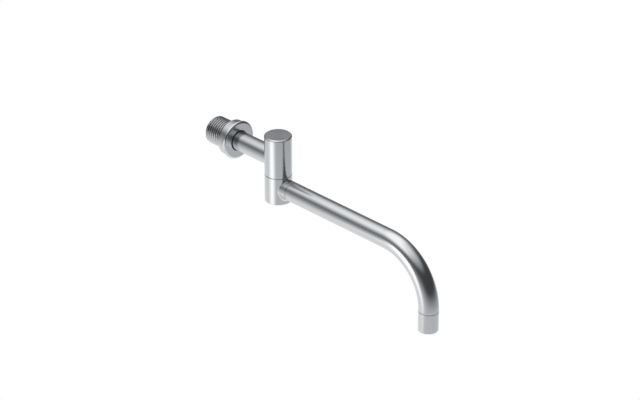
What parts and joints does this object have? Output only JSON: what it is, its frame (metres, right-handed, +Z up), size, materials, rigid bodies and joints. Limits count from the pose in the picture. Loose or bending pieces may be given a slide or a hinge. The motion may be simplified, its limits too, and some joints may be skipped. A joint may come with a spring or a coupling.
{
  "type": "swivel spout",
  "caption": "Wall-mounted tubular swivel spout: a threaded wall stub with a round collar, an upright swivel housing and a long arm bent down to an outlet.",
  "frame": {"origin": "where the inlet axis meets the wall, in the plane of the collar's rear face", "axes": "+Y along the inlet thread into the wall, +Z up, the arm reaches out along -Y at rest"},
  "size_m": [0.0362, 0.2796, 0.1208],
  "materials": {
    "satin_steel": "satin stainless steel",
    "turned_steel": "turned stainless steel",
    "turned_brass": "turned brass",
    "black_rubber": "smooth rubber",
    "bearing_plastic": "natural acetal",
    "insert_plastic": "moulded grey plastic"
  },
  "bodies": {
    "base": {"wall_nipple": "satin_steel", "wall_seal": "black_rubber", "cover_plate": "satin_steel", "wiper_ring": "black_rubber", "inlet_plug": "turned_steel", "plug_ring": "black_rubber", "grub_screw": "turned_steel", "stub_tube": "satin_steel", "stub_spigot": "turned_steel", "upper_housing": "satin_steel", "stop_pin": "turned_steel", "nut_washer": "bearing_plastic", "top_cap": "satin_steel", "cap_ring": "black_rubber"},
    "arm": {"lower_housing": "satin_steel", "slip_ring": "bearing_plastic", "spindle": "turned_brass", "spindle_rings": "black_rubber", "spindle_nut": "turned_brass", "arm_spigot": "turned_steel", "arm_tube": "satin_steel", "outlet_bushing": "turned_steel", "outlet_sleeve": "satin_steel", "outlet_gasket": "black_rubber", "aerator_cup": "insert_plastic", "outlet_comb": "insert_plastic", "jet_plate": "insert_plastic", "strainer": "insert_plastic"}
  },
  "joints": [
    {"name": "arm_swing", "type": "hinge", "parent": "base", "child": "arm", "pos_m": [0, -0.0608, 0], "axis": [0, 0, 1], "range_deg": [-90, 90]}
  ]
}
